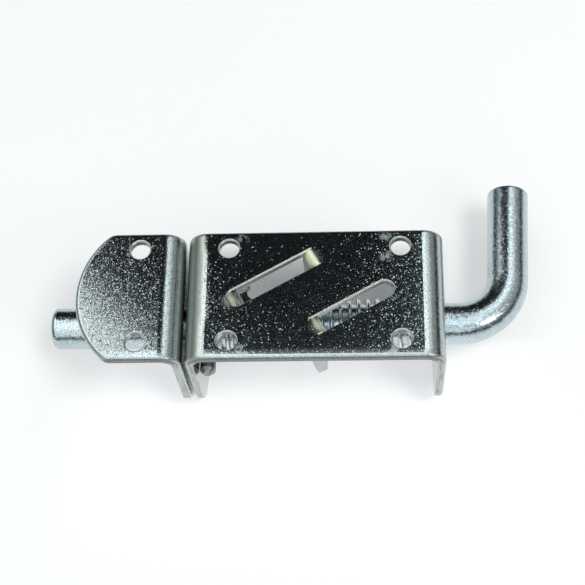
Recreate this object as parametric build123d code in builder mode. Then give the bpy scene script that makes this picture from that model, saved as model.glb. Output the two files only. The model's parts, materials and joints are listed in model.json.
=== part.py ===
from build123d import *
from dataclasses import dataclass
from math import asin, cos, degrees, radians, sin, tan
import os

# Spring bolt, sizes in millimetres.
# Origin: centre of the housing's screw pattern, on the outer face of its plate.
# +X runs along the rod towards the handle. +Z points out of the plate, so the legs stand in -Z.

# Sheet metal of the housing and the keeper
sheet = 2.5
sheet_width = 38.6
bend_inner = 3.5
leg_height = 41.0
leg_corner = 13.0
edge_roll = 1.2
hole_roll = 0.35
screw_hole = 5.6
screw_row_y = 28.0

# Housing
housing_length = 72.0
screw_row_x = 48.0

# Slanted slots, and the tongues that are lanced out of them
slot_angle = 29.5
slot_width = 5.3
upper_slot_offset = 9.7
upper_slot_reach = 22.0
upper_tongue_face = 3.0
upper_tongue_lean = 0.0
upper_tongue_splay = 0.0
lower_slot_offset = 8.8
lower_slot_reach = 20.0
lower_tongue_face = 2.2
lower_tongue_lean = 5.0
lower_tongue_splay = 4.5
tongue_bend = 0.5
tongue_tip_round = 2.3
shear_gap = 0.12
stub_length = 6.1
stub_drop = 2.6
stub_bend = 2.5

# Keeper
keeper_gap = 0.8
keeper_length = 29.9
keeper_shoulder = 20.7
keeper_corner = 4.0
keeper_screw = 12.4

# Bolt rod
rod_diameter = 12.0
rod_depth = 23.0
rod_clearance = 0.1
tip_reach = 41.4
tip_round = 1.6
handle_offset = 18.7
handle_length = 42.4
handle_bend = 14.5
handle_angle = 87.0
handle_round = 1.0

# Cross pin, washer and spring
pin_diameter = 4.5
pin_length = 33.5
pin_chamfer = 1.1
pin_lean = 14.0
running_gap = 0.1
washer_thickness = 1.2
washer_bore_gap = 0.15
washer_ring = 2.0
spring_wire = 1.2
spring_bore_gap = 0.5
spring_turns = 22
spring_seat = 0.05

# Worked out from the sizes above
bend_outer = bend_inner + sheet
half_length = housing_length / 2
half_width = sheet_width / 2
rod_radius = rod_diameter / 2
rod_bore_radius = rod_radius + rod_clearance
keeper_face = -half_length - keeper_gap
keeper_end = keeper_face - keeper_length
tip_x = -half_length - tip_reach
corner_x = half_length + handle_offset
bend_start = corner_x - handle_bend * tan(radians(handle_angle / 2))
pin_x = -half_length + sheet + running_gap + pin_diameter / 2
washer_x = pin_x + pin_diameter / 2 + running_gap
spring_start = washer_x + washer_thickness + spring_seat
spring_end = half_length - sheet - spring_seat
spring_radius = rod_radius + spring_bore_gap + spring_wire / 2
tongue_outer = tongue_bend + sheet
tongue_half = slot_width / 2 - shear_gap

# The handle lies level. The pin leans, with its far end lower.
handle_plane = Plane.XY.offset(-rod_depth)
pin_way = Vector(0, cos(radians(pin_lean)), -sin(radians(pin_lean)))


def leg_outline():
    """A leg seen along the rod: square at the plate, round corners at the free end."""
    with BuildSketch(Plane.YZ) as outline:
        with Locations((0, -leg_height / 2)):
            Rectangle(sheet_width, leg_height)
        fillet(outline.vertices().group_by(Axis.Y)[0], leg_corner)
    return outline.sketch


def rod_bore():
    """The rod's hole through a leg, seen along the rod."""
    with BuildSketch(Plane.YZ) as bore:
        with Locations((0, -rod_depth)):
            Circle(rod_bore_radius)
    return bore.sketch


@dataclass
class Slot:
    """A slanted slot and the tongue lanced out of it. side is +1 for the upper, -1 for the lower.
    Along the slot, x runs from its round end towards the tongue's bend, and 0 is nearest the origin."""

    side: int
    offset: float
    reach: float
    face: float
    lean: float
    splay: float

    def frame(self):
        """Frame on the plate: x along the slot, y away from the rod."""
        along = radians(slot_angle)
        middle = Vector(-sin(along), cos(along), 0) * self.side * self.offset
        return Plane(origin=middle, x_dir=Vector(cos(along), sin(along), 0) * self.side, z_dir=(0, 0, 1))

    def side_view(self):
        """Upright plane along the slot: x as in frame, y up."""
        frame = self.frame()
        return Plane(origin=frame.origin, x_dir=frame.x_dir, z_dir=-frame.y_dir)

    def bend_start(self):
        """Where the plate starts to bend down into the tongue."""
        return self.face + tongue_outer

    def opening(self):
        """Outline of the slot: round at its end, square where the tongue bends down."""
        half = slot_width / 2
        round_start = half - self.reach
        with BuildSketch(self.frame()) as outline:
            with BuildLine():
                Line((self.bend_start(), half), (round_start, half))
                ThreePointArc((round_start, half), (-self.reach, 0), (round_start, -half))
                Line((round_start, -half), (self.bend_start(), -half))
                Line((self.bend_start(), -half), (self.bend_start(), half))
            make_face()
        return outline.sketch

    def tongue(self, cut_short=0):
        """The tongue, bent down. It is as long as the slot, less what was cut off its tip."""
        turn = 90 + self.lean
        centre = Vector(self.bend_start(), -tongue_outer)
        flat_length = self.bend_start() + self.reach - cut_short
        hang = flat_length - radians(turn) * (tongue_bend + sheet / 2)
        down = Vector(sin(radians(self.lean)), -cos(radians(self.lean)))
        through = Vector(cos(radians(self.lean)), sin(radians(self.lean)))
        root = centre - through * tongue_outer
        tip = root + down * hang
        view = self.side_view()
        with BuildPart() as piece:
            with BuildSketch(view):
                with BuildLine():
                    Line((self.bend_start(), -sheet), (self.bend_start(), 0))
                    CenterArc(centre, tongue_outer, 90, turn)
                    Polyline(root, tip, tip + through * sheet, root + through * sheet)
                    CenterArc(centre, tongue_bend, 90 + turn, -turn)
                make_face()
            extrude(amount=tongue_half, both=True)
            across = Axis(view.origin, view.z_dir)
            corners = piece.edges().filter_by(Axis.Z, reverse=True).filter_by(across, reverse=True)
            fillet(corners.filter_by(GeomType.LINE).sort_by(Axis.Z)[:2], tongue_tip_round)
        bend_line = Axis(view.from_local_coords(Vector(self.bend_start(), -sheet / 2)), view.x_dir)
        with BuildPart() as splayed:
            add(piece.part.rotate(bend_line, self.splay))
            split(bisect_by=Plane.XY, keep=Keep.BOTTOM)
        return splayed.part

    def stub(self):
        """The short piece of sheet left at the slot's round end, joggled down below the plate.
        Its free end is hollow, where the tongue's round tip was cut from it."""
        turn = degrees(2 * asin((stub_drop / (4 * stub_bend)) ** 0.5))
        run = 2 * stub_bend * sin(radians(turn))
        first = (-self.reach, -sheet / 2 - stub_bend)
        second = (run - self.reach, stub_bend - sheet / 2 - stub_drop)
        buried = -self.reach - sheet
        end = stub_length - self.reach + slot_width / 2
        inside = stub_bend - sheet / 2
        outside = stub_bend + sheet / 2
        with BuildPart() as piece:
            with BuildSketch(self.side_view()):
                with BuildLine():
                    Line((buried, 0), (-self.reach, 0))
                    CenterArc(first, outside, 90, -turn)
                    CenterArc(second, inside, 270 - turn, turn)
                    Line((second[0], -stub_drop), (end, -stub_drop))
                    Line((end, -stub_drop), (end, -stub_drop - sheet))
                    Line((end, -stub_drop - sheet), (second[0], -stub_drop - sheet))
                    CenterArc(second, outside, 270, -turn)
                    CenterArc(first, inside, 90 - turn, turn)
                    Line((-self.reach, -sheet), (buried, -sheet))
                    Line((buried, -sheet), (buried, 0))
                make_face()
            extrude(amount=tongue_half, both=True)
            with BuildSketch(self.frame()):
                with Locations((end, 0)):
                    Circle(slot_width / 2)
            extrude(amount=leg_height, both=True, mode=Mode.SUBTRACT)
        return piece.part


upper_slot = Slot(
    1, upper_slot_offset, upper_slot_reach, upper_tongue_face, upper_tongue_lean, upper_tongue_splay
)
lower_slot = Slot(
    -1, lower_slot_offset, lower_slot_reach, lower_tongue_face, lower_tongue_lean, lower_tongue_splay
)


# Housing: one folded sheet with two legs
with BuildPart() as housing:
    with BuildSketch(Plane.XZ) as channel:
        with BuildLine():
            Polyline(
                (-half_length, -leg_height),
                (-half_length, 0),
                (half_length, 0),
                (half_length, -leg_height),
                (half_length - sheet, -leg_height),
                (half_length - sheet, -sheet),
                (sheet - half_length, -sheet),
                (sheet - half_length, -leg_height),
                close=True,
            )
        make_face()
        fillet(channel.vertices().group_by(Axis.Y)[-1], bend_outer)
        fillet(channel.vertices().filter_by_position(Axis.Y, -sheet - 0.01, 0.01 - sheet), bend_inner)
    extrude(amount=half_width, both=True)
    extrude(leg_outline(), amount=half_length, both=True, mode=Mode.INTERSECT)
    fillet(housing.edges().filter_by(Axis.X).group_by(Axis.Z)[-1], edge_roll)
    extrude(rod_bore(), amount=half_length, both=True, mode=Mode.SUBTRACT)
    with GridLocations(screw_row_x, screw_row_y, 2, 2):
        Hole(screw_hole / 2, depth=sheet)
    for slot in (upper_slot, lower_slot):
        extrude(slot.opening(), amount=-sheet, mode=Mode.SUBTRACT)
    rims = housing.edges().filter_by_position(Axis.Z, -0.01, 0.01)
    screw_rims = rims.filter_by(GeomType.CIRCLE)
    slot_rims = rims.filter_by(Axis((0, 0, 0), upper_slot.frame().x_dir))
    fillet(screw_rims + slot_rims, hole_roll)
    add(upper_slot.tongue(cut_short=stub_length))
    add(lower_slot.tongue())
    add(upper_slot.stub())
housing.part.label = "housing"

# Keeper: one folded sheet, a D-shaped plate with one leg
with BuildPart() as keeper:
    with BuildSketch(Plane.XZ) as angle:
        with BuildLine():
            Polyline(
                (keeper_end, 0),
                (keeper_face, 0),
                (keeper_face, -leg_height),
                (keeper_face - sheet, -leg_height),
                (keeper_face - sheet, -sheet),
                (keeper_end, -sheet),
                close=True,
            )
        make_face()
        fillet(angle.vertices().group_by(Axis.Y)[-1].sort_by(Axis.X)[-1], bend_outer)
        under = angle.vertices().filter_by_position(Axis.Y, -sheet - 0.01, 0.01 - sheet)
        fillet(under.sort_by(Axis.X)[-1], bend_inner)
    extrude(amount=half_width, both=True)
    shoulder_x = keeper_face - keeper_shoulder
    with BuildSketch() as outline:
        with BuildLine():
            Line((keeper_face, half_width), (shoulder_x, half_width))
            ThreePointArc((shoulder_x, half_width), (keeper_end, 0), (shoulder_x, -half_width))
            Line((shoulder_x, -half_width), (keeper_face, -half_width))
            Line((keeper_face, -half_width), (keeper_face, half_width))
        make_face()
        shoulders = outline.vertices().filter_by_position(Axis.X, shoulder_x - 0.01, shoulder_x + 0.01)
        fillet(shoulders, keeper_corner)
    extrude(amount=leg_height, both=True, mode=Mode.INTERSECT)
    extrude(leg_outline(), amount=-keeper_end, both=True, mode=Mode.INTERSECT)
    fillet(keeper.edges().filter_by(Axis.X).group_by(Axis.Z)[-1], edge_roll)
    extrude(rod_bore(), amount=-keeper_end, both=True, mode=Mode.SUBTRACT)
    with Locations((keeper_face - keeper_screw, 0)):
        with GridLocations(0, screw_row_y, 1, 2):
            Hole(screw_hole / 2, depth=sheet)
    keeper_rims = keeper.edges().filter_by_position(Axis.Z, -0.01, 0.01).filter_by(GeomType.CIRCLE)
    fillet([rim for rim in keeper_rims if rim.radius < screw_hole], hole_roll)
keeper.part.label = "keeper"

# Bolt rod: one round bar, bent into the handle
with BuildPart() as bolt_rod:
    with BuildSketch(Plane.YZ.offset(tip_x)):
        with Locations((0, -rod_depth)):
            Circle(rod_radius)
    extrude(amount=bend_start - tip_x)
    with BuildSketch(Plane.YZ.offset(bend_start)):
        with Locations((0, -rod_depth)):
            Circle(rod_radius)
    bend_centre = handle_plane.from_local_coords(Vector(bend_start, handle_bend, 0))
    revolve(axis=Axis(bend_centre, handle_plane.z_dir), revolution_arc=handle_angle)
    corner = handle_plane.from_local_coords(Vector(corner_x, 0, 0))
    handle_way = (
        handle_plane.x_dir * cos(radians(handle_angle)) + handle_plane.y_dir * sin(radians(handle_angle))
    )
    bend_end = corner_x - bend_start
    with BuildSketch(Plane(origin=corner + handle_way * bend_end, z_dir=handle_way)):
        Circle(rod_radius)
    extrude(amount=handle_length - bend_end)
    fillet(bolt_rod.edges().sort_by(Axis.X)[0], tip_round)
    fillet(bolt_rod.edges().sort_by(Axis.Y)[-1], handle_round)
    pin_plane = Plane(origin=(pin_x, 0, -rod_depth), z_dir=pin_way)
    with BuildSketch(pin_plane):
        Circle(pin_diameter / 2)
    extrude(amount=rod_diameter, both=True, mode=Mode.SUBTRACT)
bolt_rod.part.label = "bolt_rod"

# Cross pin: pressed through the rod, square to it
with BuildPart() as cross_pin:
    with BuildSketch(pin_plane):
        Circle(pin_diameter / 2)
    extrude(amount=pin_length / 2, both=True)
    chamfer(cross_pin.edges().filter_by(GeomType.CIRCLE), pin_chamfer)
cross_pin.part.label = "cross_pin"

# Washer: between the cross pin and the spring
with BuildPart() as spring_washer:
    with BuildSketch(Plane.YZ.offset(washer_x)):
        with Locations((0, -rod_depth)):
            Circle(rod_radius + washer_bore_gap + washer_ring)
            Circle(rod_radius + washer_bore_gap, mode=Mode.SUBTRACT)
    extrude(amount=washer_thickness)
spring_washer.part.label = "spring_washer"

# Return spring: from the washer to the right leg
with BuildPart() as return_spring:
    wire_radius = spring_wire / 2
    helix_height = spring_end - spring_start - spring_wire
    with BuildLine():
        wire = Helix(
            pitch=helix_height / spring_turns,
            height=helix_height,
            radius=spring_radius,
            center=(spring_start + wire_radius, 0, -rod_depth),
            direction=(1, 0, 0),
        )
    with BuildSketch(Plane(origin=wire @ 0, z_dir=wire % 0)):
        Circle(wire_radius)
    sweep(path=wire, is_frenet=True)
return_spring.part.label = "return_spring"

os.makedirs("parts", exist_ok=True)
for piece in (housing, keeper, bolt_rod, cross_pin, spring_washer, return_spring):
    export_step(piece.part, f"parts/{piece.part.label}.step")
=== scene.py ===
# %% [markdown]
# # A spring bolt in bright zinc
#
# A spring bolt is a round bar that slides in a folded sheet-metal housing. A spring round the
# bar holds it out, and its bent end is the handle. The D-shaped keeper at the other end is
# screwed to the frame of the door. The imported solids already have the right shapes, so this
# lesson dresses them: it writes the zinc finishes as shader maths, winds the spring again with
# closed ends, and builds the studio that the polished metal mirrors.
#
# We start by loading the solids. Everything is in metres, in the same frame as the solids:
# the plate's outer face is z = 0, the bar lies along X, and the legs stand down in -Z.

import json
import math

import bpy
import numpy as np
from mathutils import Matrix, Vector


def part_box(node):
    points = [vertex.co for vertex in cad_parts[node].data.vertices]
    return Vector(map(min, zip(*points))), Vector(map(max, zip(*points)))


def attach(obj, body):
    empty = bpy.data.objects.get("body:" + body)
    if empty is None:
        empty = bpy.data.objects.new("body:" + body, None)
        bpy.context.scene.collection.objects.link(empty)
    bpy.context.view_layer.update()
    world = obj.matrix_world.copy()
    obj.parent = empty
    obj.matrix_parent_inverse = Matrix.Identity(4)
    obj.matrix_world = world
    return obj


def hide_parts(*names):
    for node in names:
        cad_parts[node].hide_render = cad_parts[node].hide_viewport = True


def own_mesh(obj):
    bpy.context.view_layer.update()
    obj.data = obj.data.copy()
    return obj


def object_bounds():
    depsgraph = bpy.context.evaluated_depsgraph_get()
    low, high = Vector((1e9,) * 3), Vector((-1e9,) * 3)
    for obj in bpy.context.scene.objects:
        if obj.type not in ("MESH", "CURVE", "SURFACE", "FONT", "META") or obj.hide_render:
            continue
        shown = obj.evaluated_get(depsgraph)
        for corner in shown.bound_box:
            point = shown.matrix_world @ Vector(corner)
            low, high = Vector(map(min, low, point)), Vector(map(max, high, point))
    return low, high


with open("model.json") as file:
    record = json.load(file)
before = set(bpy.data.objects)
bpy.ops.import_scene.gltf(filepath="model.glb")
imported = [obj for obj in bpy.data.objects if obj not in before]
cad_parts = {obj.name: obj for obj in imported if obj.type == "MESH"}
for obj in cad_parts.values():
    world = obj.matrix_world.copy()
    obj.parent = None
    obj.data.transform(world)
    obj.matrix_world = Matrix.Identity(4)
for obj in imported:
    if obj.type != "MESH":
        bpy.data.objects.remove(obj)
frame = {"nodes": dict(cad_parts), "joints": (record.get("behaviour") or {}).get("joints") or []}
cad_box = [list(corner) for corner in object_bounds()]
MM = 0.001
scene = bpy.context.scene
scene.view_settings.view_transform = "Standard"
print("solids' box in mm:", [[round(v / MM, 1) for v in corner] for corner in cad_box])

# %% [markdown]
# ## The camera
#
# The photograph looks down steeply on the plate, from a little to the right. A long lens keeps
# the plate's edges nearly parallel. The pose was solved from the places of the screw holes and
# of the plate's corners, and it is written here as the camera's own axes: a camera looks along
# its -Z, with X to the right and Y up. Writing the axes keeps the small roll that angles hide.

# %% Place the camera
CAMERA_PLACE = Vector((16.935, -160.449, 348.875)) * MM
CAMERA_RIGHT = Vector((0.99812, 0.01208, -0.06002))
CAMERA_UP = Vector((0.01409, 0.90867, 0.41728))
CAMERA_LENS = 85.79
SENSOR_WIDTH = 36
NEAREST_SEEN = 0.01
FARTHEST_SEEN = 20

camera_data = bpy.data.cameras.new("camera")
camera_data.sensor_width = SENSOR_WIDTH
camera_data.lens = CAMERA_LENS
camera_data.clip_start = NEAREST_SEEN
camera_data.clip_end = FARTHEST_SEEN
camera = bpy.data.objects.new("camera", camera_data)
scene.collection.objects.link(camera)
right = CAMERA_RIGHT.normalized()
back = right.cross(CAMERA_UP).normalized()
up = back.cross(right)
camera_axes = Matrix((right, up, back)).transposed().to_4x4()
camera.matrix_world = Matrix.Translation(CAMERA_PLACE) @ camera_axes
scene.camera = camera
print("camera looks from", [round(v, 3) for v in back])

# %% [markdown]
# ## Shader maths as Python
#
# A finish is a sum of masks: where the sheet was cut, where it was pressed, how the grain
# varies. Wiring each by hand takes many nodes, so one small class wraps a socket and overloads
# the operators. Then `1 - mask` or `grain * 0.3 + 0.2` adds the Math nodes by itself. Colours
# go through a Mix node instead, because a Math node would turn them grey.

# %% A socket that does arithmetic
class Value:
    """A number that varies over a surface: one output socket, with the usual operators."""

    def __init__(self, tree, socket):
        self.tree = tree
        self.socket = socket

    def math(self, operation, *others):
        inputs = dict(enumerate([self, *others]))
        return node(self.tree, "ShaderNodeMath", {"operation": operation}, inputs)

    def __add__(self, other):
        return self.math("ADD", other)

    def __sub__(self, other):
        return self.math("SUBTRACT", other)

    def __rsub__(self, other):
        return (self * -1) + other

    def __mul__(self, other):
        return self.math("MULTIPLY", other)

    def __abs__(self):
        return self.math("ABSOLUTE")

    __radd__ = __add__
    __rmul__ = __mul__

    def least(self, other):
        return self.math("MINIMUM", other)

    def most(self, other):
        return self.math("MAXIMUM", other)

    def ramp(self, start, full):
        """0 at start, 1 at full, and smooth between; full may be the lower one."""
        low, high = sorted((start, full))
        settings = {"interpolation_type": "SMOOTHSTEP", "clamp": True}
        inputs = {"Value": self, "From Min": low, "From Max": high}
        rising = node(self.tree, "ShaderNodeMapRange", settings, inputs)
        return rising if start < full else 1 - rising

    def band(self, low, low_full, high_full, high):
        """1 between low_full and high_full, and 0 outside low and high."""
        return self.ramp(low, low_full) * self.ramp(high, high_full)


# %% Adding nodes
MIX_SHARE, MIX_FIRST, MIX_SECOND, MIX_RESULT = 0, 6, 7, 2


def join(tree, value, socket):
    """Links a varying value to a socket, or sets the socket to a plain one."""
    if isinstance(value, Value):
        tree.links.new(value.socket, socket)
    else:
        socket.default_value = value


def node(tree, kind, settings=None, inputs=None, out=0):
    """Adds one node: its settings first, then its inputs, which are values or other sockets.
    out is the output that is given back, or a tuple of several."""
    made = tree.nodes.new(kind)
    for name, setting in (settings or {}).items():
        setattr(made, name, setting)
    for name, value in (inputs or {}).items():
        join(tree, value, made.inputs[name])
    if isinstance(out, tuple):
        return [Value(tree, made.outputs[one]) for one in out]
    return Value(tree, made.outputs[out])


def mix_colour(tree, share, first, second):
    """A colour between two others."""
    first, second = (c if isinstance(c, Value) else (*c, 1) for c in (first, second))
    inputs = {MIX_SHARE: share, MIX_FIRST: first, MIX_SECOND: second}
    return node(tree, "ShaderNodeMix", {"data_type": "RGBA"}, inputs, out=MIX_RESULT)


def vector_math(tree, operation, *vectors, out="Vector", **named):
    """A vector worked out from others."""
    inputs = {**dict(enumerate(vectors)), **named}
    return node(tree, "ShaderNodeVectorMath", {"operation": operation}, inputs, out=out)


def split(tree, vector):
    """The three parts of a vector."""
    return node(tree, "ShaderNodeSeparateXYZ", None, {0: vector}, out=(0, 1, 2))


# %% [markdown]
# ## What every finish starts from
#
# Each finish is one Principled shader, with values joined to its sockets. Zinc plate is a
# metal, so Metallic is 1 there and the base colour is the tint of its reflections. Textures
# could be laid on with unwrapped coordinates, but the object's own coordinates need no
# unwrapping and move with the piece. We turn them into mm, so that every size below is one
# that a rule would measure on the real part.

# %% The start of a finish
def new_material(name):
    """A material of one Principled shader; gives the material, its tree and its shader."""
    material = bpy.data.materials.new(name)
    material.use_nodes = True
    tree = material.node_tree
    return material, tree, tree.nodes["Principled BSDF"]


def feed(tree, shader, **values):
    """Joins values to the shader's sockets, whose names have _ for a space here."""
    for name, value in values.items():
        join(tree, value, shader.inputs[name.replace("_", " ")])


def place_in_mm(tree):
    """The point on the piece, in mm."""
    place = node(tree, "ShaderNodeTexCoord", out="Object")
    return vector_math(tree, "SCALE", place, Scale=1 / MM)


def noise(tree, place, size, detail=2.0, rough=0.5, stretch=None):
    """Noise with features of about that size in mm; stretch draws it out along an axis."""
    if stretch:
        place = vector_math(tree, "MULTIPLY", place, stretch)
    inputs = {"Vector": place, "Scale": 1 / size, "Detail": detail, "Roughness": rough}
    return node(tree, "ShaderNodeTexNoise", None, inputs)


def bump(tree, height, depth, under):
    """A bump of that depth in mm for a height from 0 to 1, on top of another normal."""
    inputs = {"Height": height, "Distance": depth * MM, "Normal": under}
    return node(tree, "ShaderNodeBump", None, inputs)


# %% [markdown]
# ## Crystals
#
# Bright zinc grows in small crystals. Each mirrors a slightly different place, so a dark face
# sparkles with pale dots. A bump from noise gives soft waves, but the dots have hard edges and
# one tilt each. A Voronoi texture gives such cells, and white noise on a cell's colour deals
# it its tilt: most lie nearly flat, and some turn far enough to catch a lamp.

# %% Turn the surface from crystal to crystal
MIDDLE = (0.5, 0.5, 0.5)


def lean(tree, normal, way, amount):
    """The normal leaned over that way, as if the surface were rounded there."""
    push = vector_math(tree, "SCALE", way, Scale=amount)
    return vector_math(tree, "NORMALIZE", vector_math(tree, "ADD", normal, push))


def crystals(tree, place, size, usual, largest, share, calm=0):
    """A normal that turns a little from crystal to crystal. size is a crystal's in mm, usual
    and largest are how far it turns, as a slope, and share is how many turn further than
    usual. Where calm is 1, the surface stays smooth."""
    cell_inputs = {"Vector": place, "Scale": 1 / size}
    cells = node(tree, "ShaderNodeTexVoronoi", None, cell_inputs, out="Color")
    settings = {"noise_dimensions": "3D"}
    dealt = node(tree, "ShaderNodeTexWhiteNoise", settings, {"Vector": cells}, out="Color")
    luck = split(tree, dealt)[0]
    turned = (luck.ramp(1 - share, 1.0) * (largest - usual) + usual) * (1 - calm)
    # A cell's way is at most a half along each axis, so it is doubled.
    way = vector_math(tree, "SUBTRACT", cells, MIDDLE)
    plain = node(tree, "ShaderNodeNewGeometry", out="Normal")
    return lean(tree, plain, way, turned * 2)


# %% [markdown]
# ## Zones of the folded sheet
#
# The housing and the keeper are cut from sheet and folded. Each zone needs its own finish: the
# cut edges are dull, the bends are satin where the press rubbed them, and the near side of the
# plate is rounded over a little. Such zones could be painted by hand. Here masks find them by
# place and by facing, which stays sharp at any zoom: a cut edge faces along Y on the plate, and
# the rim of a leg never faces along X.

# %% Masks from the sheet's shape
# Two numbers say where a mask starts and where it is full, and four numbers make a band.
# Places are in mm, and a facing is the size of one part of the surface's normal.
HOUSING_LOW, HOUSING_HIGH = (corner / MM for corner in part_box("housing"))
LEFT = HOUSING_LOW.x
HALF_WIDTH = HOUSING_HIGH.y
LEVEL_FACING = (0.90, 0.98)
CUT_FACING = (0.80, 0.95)
LEG_RIM_FACING = (0.5, 0.2)
ROUNDED_FACING = (0.05, 0.35)
BEND_FACING = (0.02, 0.20)
LEG_Z = (-6.0, -7.5)
PLATE_EDGE_Z = (-4.5, -2.5)
BEND_Z = (-6.0, -4.5)
HOUSING_X = (LEFT - 2.0, LEFT - 1.5)
LEFT_BEND_X = (*HOUSING_X, LEFT + 3.0, LEFT + 6.0)
NEAR_SIDE_Y = (3.3 - HALF_WIDTH, -HALF_WIDTH)
BEND_WEAR = 0.4
LEFT_BEND_WEAR = 0.6


def shape_zones(x, y, z, facing):
    """The sheet's cut edges, rounded rims and bends."""
    level = facing[2].ramp(*LEVEL_FACING)
    leg_rims = abs(facing[0]).ramp(*LEG_RIM_FACING) * z.ramp(*LEG_Z)
    cut = abs(facing[1]).ramp(*CUT_FACING).most(leg_rims)
    bend = abs(facing[0]).ramp(*BEND_FACING) * z.ramp(*BEND_Z)
    left_bend = bend * x.band(*LEFT_BEND_X)
    near_side = y.ramp(*NEAR_SIDE_Y) * level
    rubbed = (bend * BEND_WEAR + left_bend * LEFT_BEND_WEAR).most(near_side)
    return {
        "level": level,
        "cut": cut,
        "plate_edge": cut * z.ramp(*PLATE_EDGE_Z),
        "rounded": abs(facing[1]).ramp(*ROUNDED_FACING),
        "bend": bend,
        "left_bend": left_bend,
        "near_side": near_side,
        "worn": rubbed * x.ramp(*HOUSING_X),
    }


print(f"housing: left end at {LEFT:.1f} mm, half as wide as {HALF_WIDTH:.1f} mm")

# %% [markdown]
# ## Marks on the plates
#
# The tongues were lanced out of the plate, and a pale straw colour round their roots is a painted
# highlight for the glint on their bends. Tools left scuffs near the holes, and the plate swells a
# little beside its left bend. The keeper has a scribed line between its holes and a pale rim
# along its arc. Each could be a picture laid on the face. They are small and their places are
# known, so each is a spot, a band or a line, broken up with noise where the real one is patchy.

# %% Masks for the marks
# The spots are rows of x, y, radius and blur.
LANCED_ENDS = [(-0.9, 10.7, 2.5, 1.6), (-23.6, -2.2, 1.9, 1.5), (0.8, -9.7, 1.9, 1.5)]
SCUFF_PLACES = [(-20.3, 17.0), (19.8, 17.2), (20.0, 10.8), (-19.8, -16.8), (21.3, -17.4)]
SCUFFS = [(*place, 1.5, 1.1) for place in SCUFF_PLACES]
SCUFF_PATCHES = (0.38, 0.56)
# Where the painted straw glint at the tongue roots goes: its facing, its height and its share on
# flat faces.
GLINT_FACING = (0.995, 0.93)
GLINT_Z = (-3.6, -1.2)
GLINT_ON_FLAT = 0.5
SLOT_RIM_FACING = (0.45, 0.15)
SLOT_RIM_Z = (-0.85, -0.35)
SLOT_RIM_Y = (HALF_WIDTH - 0.9, HALF_WIDTH - 1.5)
SWELL_X = (LEFT + 2.0, LEFT + 4.5, LEFT + 5.5, LEFT + 8.2)
SWELL_Y = (-11.0, -6.0, 12.0, 15.0)
SCRIBE_X = -51.9
SCRIBE_SLANT = 0.022
SCRIBE_WIDTH = (0.20, 0.04)
SCRIBE_PATCHES = (0.40, 0.55)
SCRIBE_Y = (HALF_WIDTH - 0.8, HALF_WIDTH - 1.8)
ARC_CENTRE_X = -41.86
ARC_RADIUS = 24.84
ARC_RIM_DEPTH = (1.2, 0.5)
ARC_RIM_X = (-57.0, -58.0)


def away(x, y):
    """The length of a line that runs that far along X and along Y."""
    return (x.math("POWER", 2) + y.math("POWER", 2)).math("SQRT")


def spots(x, y, rows):
    """1 inside round spots on the plate, seen from above, and 0 outside them."""
    masks = [away(x - spot_x, y - spot_y).ramp(radius + blur, radius - blur)
             for spot_x, spot_y, radius, blur in rows]
    return sum(masks[1:], start=masks[0])


def mark_zones(x, y, z, facing, wobble, level):
    """The painted glints, scuffs, swelling, scribed line and pale rim."""
    # drawn only weighs the painted straw glint by facing: full on the steep bends, part on the
    # flat.
    drawn = facing[2].ramp(*GLINT_FACING) * (1 - GLINT_ON_FLAT) + GLINT_ON_FLAT
    slot_rims = facing[2].ramp(*SLOT_RIM_FACING) * z.ramp(*SLOT_RIM_Z)
    line = abs(x + y * SCRIBE_SLANT - SCRIBE_X).ramp(*SCRIBE_WIDTH)
    line = line * wobble.ramp(*SCRIBE_PATCHES) * abs(y).ramp(*SCRIBE_Y)
    inside_arc = ARC_RADIUS - away(x - ARC_CENTRE_X, y)
    return {
        "straw_glint": spots(x, y, LANCED_ENDS) * drawn * z.ramp(*GLINT_Z),
        "scuffed": spots(x, y, SCUFFS) * wobble.ramp(*SCUFF_PATCHES) * level,
        "slot_rims": slot_rims * abs(y).ramp(*SLOT_RIM_Y),
        "swell": x.band(*SWELL_X) * y.band(*SWELL_Y) * level,
        "scribe": line * level,
        "arc_rim": inside_arc.ramp(*ARC_RIM_DEPTH) * x.ramp(*ARC_RIM_X) * level,
    }


print("marks:", len(LANCED_ENDS), "lanced ends and", len(SCUFFS), "scuffs")

# %% [markdown]
# ## The sheet's finish
#
# The colour is built up as coats of paint would be: bright zinc with a fine grain, then worn
# satin, dull cut edges with the streaks that shearing leaves across the thickness, and last a
# pale straw colour on the tongues' roots and the slot rims, which is painted highlight for their
# glints.
# Roughness adds up the same masks. The plate's near side looks rounded because the
# normal leans over there: in polished metal that shows, though it hardly changes the shape.

# %% Zinc-plated sheet
ZINC_LIGHT = (0.585, 0.665, 0.675)
ZINC_DEEP = (0.33, 0.385, 0.40)
ZINC_WORN = (0.475, 0.505, 0.465)
ZINC_CUT = (0.50, 0.51, 0.485)
ZINC_SHEARED = (0.25, 0.25, 0.23)
ZINC_PLATE_EDGE = (0.18, 0.185, 0.17)
# A painted highlight: a pale straw colour that stands in for the glint on the bends and the slot
# rims.
ZINC_STRAW_GLINT = (0.95, 0.94, 0.72)
SHEET_GRAIN = {"size": 0.30, "rough": 0.6}
SHEET_STREAKS = {"size": 0.7, "detail": 3.0, "stretch": (1.0, 1.0, 0.10)}
SHEET_WOBBLE = {"size": 1.6, "detail": 3.0}
SHEET_CLOUD = {"size": 7.0}
SHEET_CRYSTALS = {"size": 0.23, "usual": 0.014, "largest": 0.12, "share": 0.42}
ROUNDED_CALM = 0.75
GRAIN_PATCHES = (0.40, 0.62)
SHEARED_PATCHES = (0.48, 0.66)
SHEARED_SHARE = 0.75
PLATE_EDGE_SHARE = 0.8
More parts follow.
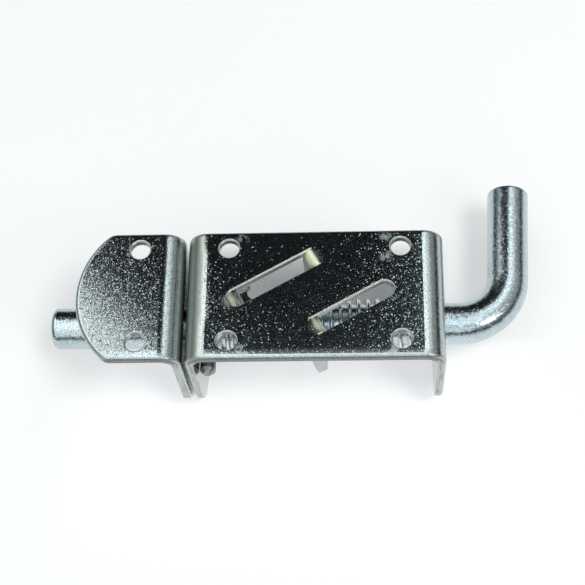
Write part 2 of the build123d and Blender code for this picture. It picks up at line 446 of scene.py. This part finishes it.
# How much of the painted straw glint the slot rims get.
SLOT_RIM_GLINT = 0.8
SHEET_ROUGHNESS = 0.09
ROUGHER = {"cloud": 0.05, "rounded": 0.16, "cut": 0.22, "scuffed": 0.30, "arc_rim": 0.25,
           "scribe": 0.15, "straw_glint": 0.30, "bend": 0.09, "left_bend": 0.14}
SLOT_RIM_LEAN = 1.2
SWELL_LEAN = 0.085
NEAR_SIDE_LEAN = 0.22
SHEET_GRAIN_DEPTH = 0.003
STREAK_DEPTH = 0.05


def sheet_colour(tree, grain, streaks, zones):
    """Grained zinc under the worn and cut zones, with painted glints of pale straw on top."""
    sheared = zones["cut"] * streaks.ramp(*SHEARED_PATCHES)
    # The pale straw coat is painted highlight, on the tongue roots and the slot rims.
    painted_glints = zones["straw_glint"] + zones["slot_rims"] * SLOT_RIM_GLINT
    coats = [
        (zones["worn"], ZINC_WORN),
        (zones["cut"], ZINC_CUT),
        (sheared * SHEARED_SHARE, ZINC_SHEARED),
        (zones["plate_edge"] * PLATE_EDGE_SHARE, ZINC_PLATE_EDGE),
        (painted_glints.least(1), ZINC_STRAW_GLINT),
    ]
    colour = mix_colour(tree, grain.ramp(*GRAIN_PATCHES), ZINC_DEEP, ZINC_LIGHT)
    for share, coat in coats:
        colour = mix_colour(tree, share, colour, coat)
    return colour


def sheet_normal(tree, place, grain, streaks, zones):
    """Crystals, then the zones that lean over, then the grain and the sheared streaks."""
    normal = crystals(tree, place, **SHEET_CRYSTALS, calm=zones["rounded"] * ROUNDED_CALM)
    normal = lean(tree, normal, (0, 0, 1), zones["slot_rims"] * SLOT_RIM_LEAN)
    normal = lean(tree, normal, (-1, 0, 0), zones["swell"] * SWELL_LEAN)
    normal = lean(tree, normal, (0, -1, 0), zones["near_side"] * NEAR_SIDE_LEAN)
    normal = bump(tree, grain, SHEET_GRAIN_DEPTH, under=normal)
    return bump(tree, streaks * zones["cut"], STREAK_DEPTH, under=normal)


def sheet_finish(name):
    """Bright zinc on rolled sheet, for the housing and the keeper."""
    material, tree, shader = new_material(name)
    place = place_in_mm(tree)
    x, y, z = split(tree, place)
    facing = split(tree, node(tree, "ShaderNodeTexCoord", out="Normal"))
    grain = noise(tree, place, **SHEET_GRAIN)
    streaks = noise(tree, place, **SHEET_STREAKS)
    wobble = noise(tree, place, **SHEET_WOBBLE)
    zones = shape_zones(x, y, z, facing)
    zones.update(mark_zones(x, y, z, facing, wobble, zones["level"]))
    zones["cloud"] = noise(tree, place, **SHEET_CLOUD)
    rough = sum((zones[name] * more for name, more in ROUGHER.items()), start=SHEET_ROUGHNESS)
    feed(tree, shader, Metallic=1, Roughness=rough,
         Base_Color=sheet_colour(tree, grain, streaks, zones),
         Normal=sheet_normal(tree, place, grain, streaks, zones))
    return material


# %% [markdown]
# ## The bar, the pin, the washer and the wire
#
# The bar's zinc is a little bluer than the sheet's, and its crystals sparkle more. The pin is
# duller, and its darker colour is painted shade for its place under the plate. The spring's
# wire hardly sparkles. They differ only in tint, roughness and how far their crystals turn,
# so one function makes all four from a row each.

# %% Zinc-plated bar
# Each row: the material, its light and deep colour, its roughness, and its crystals' tilt.
BAR_LOOK = ("zinc_bar", (0.59, 0.69, 0.72), (0.42, 0.50, 0.53), 0.15, 0.20)
# The pin's dark colours are painted shade; its roughness is its own.
PIN_LOOK = ("dull_pin_painted_shade", (0.34, 0.36, 0.36), (0.20, 0.21, 0.21), 0.30, 0.20)
WASHER_LOOK = ("zinc_washer", (0.70, 0.73, 0.73), (0.50, 0.52, 0.52), 0.30, 0.20)
WIRE_LOOK = ("spring_wire", (0.74, 0.76, 0.76), (0.52, 0.54, 0.54), 0.20, 0.03)
BAR_GRAIN = {"size": 0.4, "rough": 0.6}
BAR_CLOUD = {"size": 5.0}
BAR_CRYSTALS = {"size": 0.20, "share": 0.45}
CLOUD_ROUGHNESS = 0.08
BAR_GRAIN_DEPTH = 0.02


def bar_finish(name, light, deep, roughness, tilt):
    """Bright zinc on drawn bar or wire."""
    material, tree, shader = new_material(name)
    place = place_in_mm(tree)
    grain = noise(tree, place, **BAR_GRAIN)
    cloud = noise(tree, place, **BAR_CLOUD)
    turned = crystals(tree, place, usual=tilt / 4, largest=tilt, **BAR_CRYSTALS)
    feed(tree, shader, Metallic=1, Roughness=cloud * CLOUD_ROUGHNESS + roughness,
         Base_Color=mix_colour(tree, grain.ramp(*GRAIN_PATCHES), deep, light),
         Normal=bump(tree, grain, BAR_GRAIN_DEPTH, under=turned))
    return material


# %% [markdown]
# ## Dress the solids
#
# The housing, keeper, bar, pin and washer are rigid, and their solids have the right shape, so
# they keep it and only change their finish. The housing and keeper come from the same sheet
# and share one material.

# %% Give each solid its finish
sheet = sheet_finish("zinc_sheet")
finishes = {
    "housing": sheet,
    "keeper": sheet,
    "bolt_rod": bar_finish(*BAR_LOOK),
    "cross_pin": bar_finish(*PIN_LOOK),
    "spring_washer": bar_finish(*WASHER_LOOK),
}
for name, material in finishes.items():
    mesh = frame["nodes"][name].data
    mesh.materials.clear()
    mesh.materials.append(material)
    print(name, "wears", material.name)

# %% [markdown]
# ## The return spring's line
#
# The real spring is wound from round wire. Its ends are closed: the last turns lie against each
# other, so that they press squarely on the washer and on the leg. A Screw modifier would give
# an even coil, as the solid has, but closed ends need a pitch that changes. So we add the line
# up step by step: the pitch is small at both ends and opens up over half a turn. One coil is
# then turned to where the photograph shows it in the lower slot.

# %% Lay out the spring's line
WIRE = 1.2 * MM
CLOSED_TURNS = 2.4
CLOSED_PITCH = 1.26 * MM
OPEN_PITCH = 2.74 * MM
OPENING_TURNS = 0.5
SEEN_COIL_X = 9.0 * MM
SEEN_COIL_ANGLE = math.radians(15)
STEPS_PER_TURN = 40

low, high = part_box("return_spring")
axis_y = (low.y + high.y) / 2
axis_z = (low.z + high.z) / 2
coil_radius = (high.y - low.y - WIRE) / 2
start_x = low.x + WIRE / 2
end_x = high.x - WIRE / 2

closed_length = CLOSED_TURNS * CLOSED_PITCH
open_turns = round((end_x - start_x - 2 * closed_length) / OPEN_PITCH, 2)
all_turns = open_turns + 2 * CLOSED_TURNS
turn = np.linspace(0, all_turns, int(all_turns * STEPS_PER_TURN) + 1)
from_end = np.minimum(turn, all_turns - turn)
opening = np.clip((from_end - CLOSED_TURNS) / OPENING_TURNS + 0.5, 0, 1)
opening = opening * opening * (3 - 2 * opening)
pitch = CLOSED_PITCH + (OPEN_PITCH - CLOSED_PITCH) * opening
steps = (pitch[1:] + pitch[:-1]) / 2 * np.diff(turn)
along = np.concatenate([[0], np.cumsum(steps)])
along = start_x + along * (end_x - start_x) / along[-1]
angle = SEEN_COIL_ANGLE + (turn - np.interp(SEEN_COIL_X, along, turn)) * 2 * math.pi
outward = np.stack([np.zeros(len(turn)), np.cos(angle), np.sin(angle)], 1)
axis_points = np.stack([along, np.full(len(turn), axis_y), np.full(len(turn), axis_z)], 1)
wire_line = axis_points + coil_radius * outward
print(f"spring: {all_turns:.1f} turns of {WIRE / MM:.1f} mm wire")

# %% [markdown]
# ## The return spring's wire
#
# The wire is a tube round that line. A curve with a round bevel would do, but rings of points
# keep every turn exactly where the line has it. The piece takes the place of the
# solid spring and rides on the frame.

# %% Wind the wire
WIRE_SIDES = 14


def tube(name, line, outward, radius, sides):
    """A round tube with closed ends along a line; outward points off the line at each point."""
    tangent = np.gradient(line, axis=0)
    tangent /= np.linalg.norm(tangent, axis=1)[:, None]
    sideways = np.cross(tangent, outward)
    around = np.linspace(0, 2 * math.pi, sides, endpoint=False)[None, :, None]
    spokes = np.cos(around) * outward[:, None] + np.sin(around) * sideways[:, None]
    rings = line[:, None] + radius * spokes
    last = (len(line) - 1) * sides
    faces = [(ring + j, ring + (j + 1) % sides, ring + sides + (j + 1) % sides, ring + sides + j)
             for ring in range(0, last, sides) for j in range(sides)]
    faces.append(tuple(reversed(range(sides))))
    faces.append(tuple(range(last, last + sides)))
    mesh = bpy.data.meshes.new(name)
    mesh.from_pydata(rings.reshape(-1, 3).tolist(), [], faces)
    mesh.shade_smooth()
    return mesh


spring_mesh = tube("coil_spring", wire_line, outward, WIRE / 2, WIRE_SIDES)
spring_mesh.materials.append(bar_finish(*WIRE_LOOK))
spring = bpy.data.objects.new("coil_spring", spring_mesh)
scene.collection.objects.link(spring)
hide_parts("return_spring")
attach(spring, "frame")
travel = next(j for j in frame["joints"] if j["name"] == "bolt_slide")["range_m"][1]
spring_length = high.x - low.x
(spring_length - travel) / spring_length
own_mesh(spring)
print(f"spring: {spring_length / MM:.1f} mm long, pressed by {travel / MM:.0f} mm at most")

# %% [markdown]
# ## The studio floor
#
# Polished metal shows its surroundings more than its own colour, so the studio matters as much
# as the finishes. The bolt stands on a white table. The lamps are kept low enough for the
# metal, so they alone would leave the table grey. Its whiteness is added as a glow that only
# the camera, mirrors and glass see: it lights nothing, and the shadows stay. The glow is left
# out under the housing, which paints shade on the table that the slots show, and it is stronger
# in front, which paints light over the shadow that the plate casts there.

# %% The white table
FLOOR_GAP = 0.05 * MM
FLOOR_Z = cad_box[0][2] - FLOOR_GAP
FLOOR_HALF = 6
FLOOR_COLOUR = (0.60, 0.605, 0.615)
FLOOR_ROUGHNESS = 0.7
FLOOR_GLOW = (0.33, 0.33, 0.33)
# Painted light: the stronger glow in front, over the plate's shadow on the table.
PAINTED_FRONT_LIGHT = (0.52, 0.52, 0.53)
BLACK = (0, 0, 0)
# Painted shade: where the slots show the table under the housing, the glow is left out.
PAINTED_SHADE_MIDDLE_X = -2
PAINTED_SHADE_FROM_MIDDLE = (44, 28)
PAINTED_SHADE_Y = (1, 9, 29, 38)
# Where the painted light in front lies.
PAINTED_LIGHT_MIDDLE_X = -5
PAINTED_LIGHT_FROM_MIDDLE = (80, 44)
PAINTED_LIGHT_Y = (-70, -30, -1, 5)


def stage_piece(name, points, faces, material):
    """A mesh of the studio, which isn't part of the bolt."""
    mesh = bpy.data.meshes.new(name)
    mesh.from_pydata(points, [], faces)
    mesh.materials.append(material)
    made = bpy.data.objects.new(name, mesh)
    scene.collection.objects.link(made)
    return made


def seen_directly(tree):
    """1 for rays from the camera, off metal or through glass, which all show the backdrop."""
    kinds = ("Is Camera Ray", "Is Glossy Ray", "Is Transmission Ray")
    camera_ray, glossy_ray, through_ray = node(tree, "ShaderNodeLightPath", out=kinds)
    return camera_ray.most(glossy_ray).most(through_ray)


def floor_finish():
    """White, with a glow that is left out under the housing as painted shade, and stronger in
    front as painted light.
    """
    material, tree, shader = new_material("white_table")
    place = node(tree, "ShaderNodeNewGeometry", out="Position")
    x, y, _ = split(tree, vector_math(tree, "SCALE", place, Scale=1 / MM))
    # Painted shade under the housing, and in front painted light over the plate's shadow.
    painted_shade = abs(x - PAINTED_SHADE_MIDDLE_X).ramp(*PAINTED_SHADE_FROM_MIDDLE) * y.band(*PAINTED_SHADE_Y)
    front = abs(x - PAINTED_LIGHT_MIDDLE_X).ramp(*PAINTED_LIGHT_FROM_MIDDLE) * y.band(*PAINTED_LIGHT_Y)
    glow = mix_colour(tree, front, FLOOR_GLOW, PAINTED_FRONT_LIGHT)
    glow = mix_colour(tree, seen_directly(tree) * (1 - painted_shade), BLACK, glow)
    feed(tree, shader, Base_Color=(*FLOOR_COLOUR, 1), Roughness=FLOOR_ROUGHNESS,
         Emission_Color=glow, Emission_Strength=1)
    return material


corners = [(-1, -1), (1, -1), (1, 1), (-1, 1)]
floor_points = [(x * FLOOR_HALF, y * FLOOR_HALF, FLOOR_Z) for x, y in corners]
stage_piece("floor", floor_points, [(0, 1, 2, 3)], floor_finish())
print(f"floor at {FLOOR_Z / MM:.2f} mm")

# %% [markdown]
# ## The black flag
#
# In the photograph the plate is nearly black, because it mirrors something dark above its far
# side. Photographers hang a black card there, called a flag. It could be a plain rectangle,
# but its outline is what shapes the dark on each face: the left side slants, so that the
# keeper fades from pale to dark, and the right side stops short of what the handle mirrors.
# Towards the top it turns grey, so that the plate's near part is a little paler. Only mirror
# rays see it, so it throws no shade.

# %% Hang the flag
# The outline's points are u, to the right, and v, upwards, as parts of the flag's distance.
FLAG_DISTANCE = 0.4
FLAG_WAY = Vector((0, 1, 1)).normalized()
FLAG_UP = Vector((0, -1, 1)).normalized()
FLAG_RIGHT = Vector((1, 0, 0))
FLAG_COLOUR = (0.01, 0.011, 0.013)
FLAG_GREY = (0.20, 0.21, 0.21)
FLAG_GREY_RISE = (0.41, 0.75)
FLAG_OUTLINE = [
    (-0.75, -0.80), (0.38, -0.80), (0.29, -0.15), (0.27, 0.14), (0.175, 0.28), (0.175, 0.46),
    (0.14, 1.00), (-0.21, 1.00), (-0.27, 0.50), (-0.318, 0.435), (-0.358, 0.40),
    (-0.39, 0.361), (-0.44, 0.30), (-0.60, 0.20)]


def only_mirrored(piece):
    """Hides a piece of the studio from all rays but those off metal."""
    for rays in ("camera", "diffuse", "shadow", "transmission"):
        setattr(piece, f"visible_{rays}", False)


def flag_finish():
    """Black, and grey towards its upper end."""
    material, tree, shader = new_material("black_flag")
    place = node(tree, "ShaderNodeNewGeometry", out="Position")
    rise = vector_math(tree, "DOT_PRODUCT", place, FLAG_UP / FLAG_DISTANCE, out="Value")
    grey = mix_colour(tree, rise.ramp(*FLAG_GREY_RISE), BLACK, FLAG_GREY)
    feed(tree, shader, Base_Color=(*FLAG_COLOUR, 1), Roughness=1, Specular_IOR_Level=0,
         Emission_Color=grey, Emission_Strength=1)
    return material


flag_points = [FLAG_DISTANCE * (FLAG_WAY + FLAG_RIGHT * u + FLAG_UP * v) for u, v in FLAG_OUTLINE]
flag_face = tuple(range(len(FLAG_OUTLINE)))
only_mirrored(stage_piece("flag", flag_points, [flag_face], flag_finish()))
print("flag:", len(FLAG_OUTLINE), "corners,", FLAG_DISTANCE, "m away")

# %% [markdown]
# ## The walls
#
# The bar is round, so it mirrors the studio all the way down to the floor. The dark line along
# it is the low part of the walls, and the grey beside that line is their upper part. Two bands
# of wall right round the studio give both. They glow by themselves and are seen only in metal,
# so they light nothing.

# %% Put up the walls
WALL_RADIUS = 1.4
WALL_SIDES = 48
# Each row: the wall, its lower and upper height in m, and its shade.
WALLS = [
    ("dark_wall", -0.04, 0.45, (0.03, 0.033, 0.036)),
    ("grey_wall", 0.45, 1.25, (0.38, 0.40, 0.41)),
]


def wall(name, low, high, shade):
    """A band of wall right round the studio."""
    material, tree, shader = new_material(name)
    feed(tree, shader, Base_Color=(*BLACK, 1), Specular_IOR_Level=0,
         Emission_Color=(*shade, 1), Emission_Strength=1)
    turns = [2 * math.pi * i / WALL_SIDES for i in range(WALL_SIDES)]
    points = [(WALL_RADIUS * math.cos(t), WALL_RADIUS * math.sin(t), height)
              for height in (low, high) for t in turns]
    sides = [(i, (i + 1) % WALL_SIDES, (i + 1) % WALL_SIDES + WALL_SIDES, i + WALL_SIDES)
             for i in range(WALL_SIDES)]
    only_mirrored(stage_piece(name, points, sides, material))


for name, low, high, shade in WALLS:
    wall(name, low, high, shade)
    print(name, "from", low, "to", high, "m")

# %% [markdown]
# ## The lamps
#
# Soft boxes are what a photographer would use for metal: large, even lamps whose reflections
# are clean bands. Three long ones overhead draw the pale bands along the bar and down the
# bends, with the middle one brightest. One in front lights the lower side of the bar, and one
# at each side fills the legs. A small key lamp gives the handle's bend its spark, and the
# shade lamp casts the shadow behind the handle without being mirrored.

# %% Hang the lamps
COOL = (0.93, 0.98, 1.0)
BLUE = (0.84, 0.95, 1.0)
WARM = (1.0, 1.0, 0.93)
# Each row: the lamp, its way from the bolt, its distance, width and height in m, its
# radiance, where 1 mirrors as white, and its colour.
SOFT_BOXES = [
    ("overhead_left", (-0.57, 0.0, 1.0), 1.1, 1.45, 0.62, 0.92, WARM),
    ("overhead_middle", (-0.165, 0.0, 1.0), 1.1, 1.45, 0.14, 1.75, BLUE),
    ("overhead_right", (0.17, 0.0, 1.0), 1.1, 1.45, 0.58, 0.85, BLUE),
    ("front", (-0.15, -0.85, 0.55), 1.2, 1.3, 0.6, 0.75, COOL),
    ("right_side", (0.38, 0.43, 0.83), 1.0, 0.5, 0.5, 0.50, WARM),
    ("left_side", (-0.56, 0.41, 0.72), 1.0, 0.5, 0.5, 0.42, WARM),
    ("key", (0.62, -0.50, 0.66), 1.1, 0.3, 0.3, 5.5, WARM),
]
SHADE_LAMP = ("shade_lamp", (0.36, -0.20, 0.90), 1.1, 0.32, 0.32, 17, WARM)


def soft_box(name, way, distance, width, height, radiance, colour):
    """An area lamp that looks at the bolt."""
    lamp = bpy.data.lights.new(name, "AREA")
    lamp.shape = "RECTANGLE"
    lamp.size = width
    lamp.size_y = height
    lamp.energy = radiance * math.pi * width * height
    lamp.color = colour
    made = bpy.data.objects.new(name, lamp)
    scene.collection.objects.link(made)
    outward = Vector(way).normalized()
    turned = outward.to_track_quat("Z", "Y").to_matrix().to_4x4()
    made.matrix_world = Matrix.Translation(outward * distance) @ turned
    made.visible_camera = False
    print(f"{name}: {lamp.energy:.1f} W")
    return made


for row in SOFT_BOXES:
    soft_box(*row)
soft_box(*SHADE_LAMP).visible_glossy = False

# %% [markdown]
# ## The sky
#
# Above the walls is plain grey. One grey could serve for all, but the camera and the metal are
# shown a paler one than the sky gives as light, so that the lamps' shadows stay clear.

# %% Light the studio's ceiling
SKY_LIGHT = (0.22, 0.23, 0.24)
SKY_SHOWN = (0.62, 0.63, 0.64)

world = bpy.data.worlds.new("studio")
world.use_nodes = True
scene.world = world
sky = world.node_tree
sky_colour = mix_colour(sky, seen_directly(sky), SKY_LIGHT, SKY_SHOWN)
feed(sky, sky.nodes["Background"], Color=sky_colour)
print("sky gives", SKY_LIGHT, "and shows", SKY_SHOWN)
